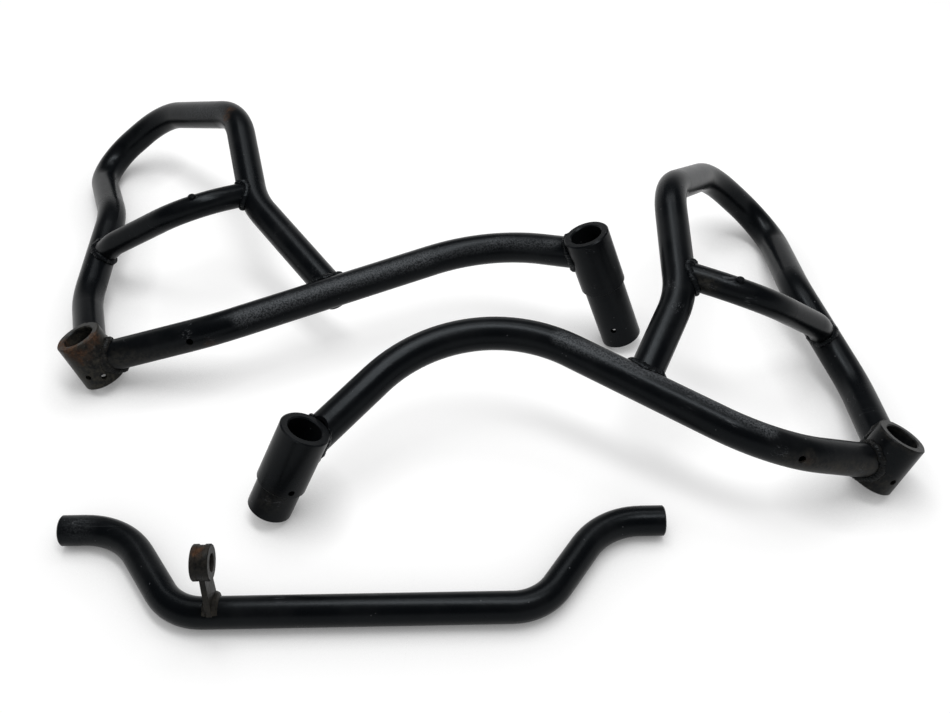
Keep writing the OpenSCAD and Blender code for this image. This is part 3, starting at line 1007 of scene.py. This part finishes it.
def left_finishes() -> dict[str, WornPaint]:
    """Gives the left bar's tubes and sockets paint that is worn where the photograph shows it,
    with painted highlights along the lit tops.

    Returns:
        The finish of each piece, by its name without the side.
    """
    up = (-0.348, 0.116, 0.930)
    top = ((-0.165, -0.042, 0.066), (-0.092, -0.009, 0.073), (-0.007, 0.026, 0.078))
    rear = ((-0.007, 0.026, 0.078), (0.055, 0.037, 0.086), (0.100, 0.022, 0.096))
    low = ((-0.270, -0.062, 0.034), (-0.242, -0.062, 0.034), (-0.205, -0.062, 0.040))
    scraped = ((-0.148, -0.033, 0.069), (-0.125, -0.023, 0.070), (-0.210, -0.052, 0.060))
    # The first rubbed place rings the vent hole: a scuff that is also a painted highlight on its
    # rim.
    rubbed = ((-0.188, -0.055, 0.051), (-0.067, 0.001, 0.074), (0.048, 0.039, 0.086))
    shoulder = ((-0.265, 0.235, 0.095), (-0.215, 0.205, 0.12))
    hoop_rust = ((-0.206, 0.198, 0.123), (-0.2085, 0.1895, 0.119))
    hoop_scuffs = ((-0.245, 0.232, 0.105), (-0.351, 0.192, 0.037), (-0.109, 0.011, 0.077))
    collar = ((-0.3076, -0.0645, 0.0484), (-0.320, -0.052, 0.044))
    seam = ((-0.2986, -0.0649, 0.0442), (-0.289, -0.054, 0.0547))
    return {
        "main_tube": WornPaint(
            "left main tube paint",
            grain=(0.9, 0.43, 0.08),
            # Chalk lines along the lit top and rear of the main tube: chalky paint and a painted
            # highlight.
            spots=line(Wear.CHALK_AND_HIGHLIGHT, 0.0105, *top, strength=0.85)
            + line(Wear.CHALK_AND_HIGHLIGHT, 0.009, *rear, strength=0.55)
            + line(Wear.DUST, 0.016, *low, strength=0.6)
            + spots(Wear.SCUFF, 0.011, *scraped)
            + spots(Wear.SCUFF, 0.01, *rubbed)
            + spots(Wear.RUST, 0.009, (-0.19, -0.055, 0.049), strength=0.35),
        ),
        "hoop_tube": WornPaint(
            "left hoop paint",
            grain=(0.6, 0.75, 0.2),
            spots=spots(Wear.RUST, 0.009, *hoop_rust, strength=0.75)
            # Chalk on the hoop's shoulder: chalky paint and a painted highlight where the top
            # catches the light.
            + line(Wear.CHALK_AND_HIGHLIGHT, 0.02, *shoulder, strength=0.35)
            + spots(Wear.SCUFF, 0.012, *hoop_scuffs),
        ),
        "brace_tube": WornPaint(
            "left brace paint",
            spots=spots(Wear.SCUFF, 0.007, (-0.319, 0.077, 0.043), strength=0.9),
        ),
        "front_socket": WornPaint(
            "left front socket paint",
            dusty=0.8,
            chipped=0.1,
            bloom=(0.10, 0.054, 0.031),
            dust=(0.062, 0.057, 0.046),
            spots=spots(Wear.RUST, 0.017, *collar) + spots(Wear.RUST, 0.014, *seam),
            rims=(
                Rim(Wear.DUST, (-0.290, -0.050, 0.0475), up, 0.004, 0.5),
                Rim(Wear.DUST, (-0.305, -0.045, 0.008), up, 0.03, 0.75),
            ),
        ),
        "rear_socket": WornPaint(
            "left rear socket paint",
            spots=spots(Wear.SCUFF, 0.006, (0.135, -0.009, 0.072), (0.1279, -0.0054, 0.1078)),
        ),
    }


def right_finishes() -> dict[str, WornPaint]:
    """Gives the right bar's tubes and sockets paint that is worn where the photograph shows it,
    with painted highlights along the lit tops.

    Returns:
        The finish of each piece, by its name without the side.
    """
    up = (0.423, 0.226, 0.878)
    arch = ((0.099, -0.100, 0.099), (0.143, -0.122, 0.095), (0.187, -0.143, 0.089))
    front = ((0.187, -0.143, 0.089), (0.227, -0.170, 0.085), (0.248, -0.181, 0.081))
    low = ((0.262, -0.197, 0.060), (0.296, -0.195, 0.050), (0.335, -0.183, 0.036))
    scraped = ((0.154, -0.134, 0.093), (0.192, -0.161, 0.088), (0.219, -0.177, 0.085))
    rubbed = ((0.271, -0.195, 0.061), (0.324, -0.185, 0.038), (0.255, -0.194, 0.071))
    hoop_end = (0.277, -0.1946, 0.062)
    hoop_scuffs = ((0.236, 0.096, 0.115), (0.248, 0.124, 0.103), (0.220, 0.069, 0.132))
    crest = ((0.220, 0.069, 0.132), (0.245, 0.118, 0.107))
    brace_scuffs = ((0.2205, -0.060, 0.1154), (0.2343, -0.0566, 0.1218), (0.2495, -0.0704, 0.1107))
    foot = ((-0.122, -0.2067, 0.0314), (-0.1154, -0.2078, 0.0292))
    return {
        "main_tube": WornPaint(
            "right main tube paint",
            grain=(0.8, -0.58, -0.15),
            # Chalk lines along the lit top of the arch and the front run: chalky paint and a
            # painted highlight.
            spots=line(Wear.CHALK_AND_HIGHLIGHT, 0.0105, *arch, strength=0.9)
            + line(Wear.CHALK_AND_HIGHLIGHT, 0.01, *front)
            + line(Wear.DUST, 0.015, *low, strength=0.75)
            + spots(Wear.SCUFF, 0.011, *scraped)
            + spots(Wear.SCUFF, 0.01, *rubbed)
            + spots(Wear.DUST, 0.012, hoop_end, (0.300, -0.193, 0.050))
            + spots(Wear.RUST, 0.009, hoop_end, strength=0.2),
        ),
        "hoop_tube": WornPaint(
            "right hoop paint",
            grain=(0.3, 0.8, -0.4),
            spots=spots(Wear.SCUFF, 0.012, *hoop_scuffs)
            # Chalk on the hoop's crest: chalky paint and a painted highlight where the top catches
            # the light.
            + line(Wear.CHALK_AND_HIGHLIGHT, 0.02, *crest, strength=0.3)
            + spots(Wear.SCUFF, 0.012, (0.191, -0.078, 0.112), (0.187, -0.055, 0.114)),
        ),
        "brace_tube": WornPaint(
            "right brace paint",
            spots=spots(Wear.DUST, 0.016, (0.2154, -0.0573, 0.1152), strength=0.6)
            + spots(Wear.SCUFF, 0.009, *brace_scuffs),
        ),
        "front_socket": WornPaint(
            "right front socket paint",
            dusty=0.12,
            chipped=0.06,
            rims=(
                Rim(Wear.DUST, (0.361, -0.158, 0.0475), up, 0.004, 0.3),
                Rim(Wear.DUST, (0.343, -0.168, 0.009), up, 0.02, 0.55),
            ),
        ),
        "rear_socket": WornPaint(
            "right rear socket paint",
            chipped=0.06,
            spots=spots(Wear.SCUFF, 0.007, *foot)
            + spots(Wear.DUST, 0.017, (-0.120, -0.207, 0.030), strength=0.4),
        ),
    }


def cross_finish() -> WornPaint:
    """Gives the cross tube its paint, the least worn of the three.

    Returns:
        The finish.
    """
    left_end = (-0.262, -0.22, 0.02)
    return WornPaint(
        "cross tube paint",
        spots=spots(Wear.SCUFF, 0.008, (-0.038, -0.281, 0.021), (-0.103, -0.287, 0.023))
        + spots(Wear.SCUFF, 0.014, left_end, strength=0.3)
        # Chalk at the left end: chalky paint and a faint painted highlight.
        + spots(Wear.CHALK_AND_HIGHLIGHT, 0.02, left_end, strength=0.3),
    )


def lug_finish() -> WornPaint:
    """Gives the lug its grey-brown worn paint, with rust on the eye.

    Returns:
        The finish.
    """
    return WornPaint(
        "worn lug paint",
        colour=(0.005, 0.005, 0.005),
        faded=(0.022, 0.020, 0.017),
        dust=(0.055, 0.049, 0.039),
        dusty=0.75,
        chipped=0.15,
        roughness=0.4,
        bump=0.5,
        spots=spots(Wear.RUST, 0.009, (-0.153, -0.281, 0.072))
        + spots(Wear.RUST, 0.006, (-0.146, -0.284, 0.058), strength=0.5),
    )


def main() -> None:
    """Loads the frame, dresses the set and lights it."""
    logging.basicConfig(level=logging.INFO, format="%(message)s")
    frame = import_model()
    nodes = frame["nodes"]
    effects = Effects()
    bead = WornPaint("paint over weld", roughness=0.32, chipped=0.08, bump=0.3)
    grimy = replace(bead, name="grimy paint over weld", dusty=0.9)
    dusty = replace(bead, name="dusty paint over weld", dusty=0.45)
    SideBar("left", left_finishes(), bead, grimy).build(nodes, effects)
    SideBar("right", right_finishes(), bead, dusty).build(nodes, effects)
    CrossTube(cross_finish(), lug_finish()).build(nodes, effects)
    Studio().build()


if __name__ == "__main__":
    main()
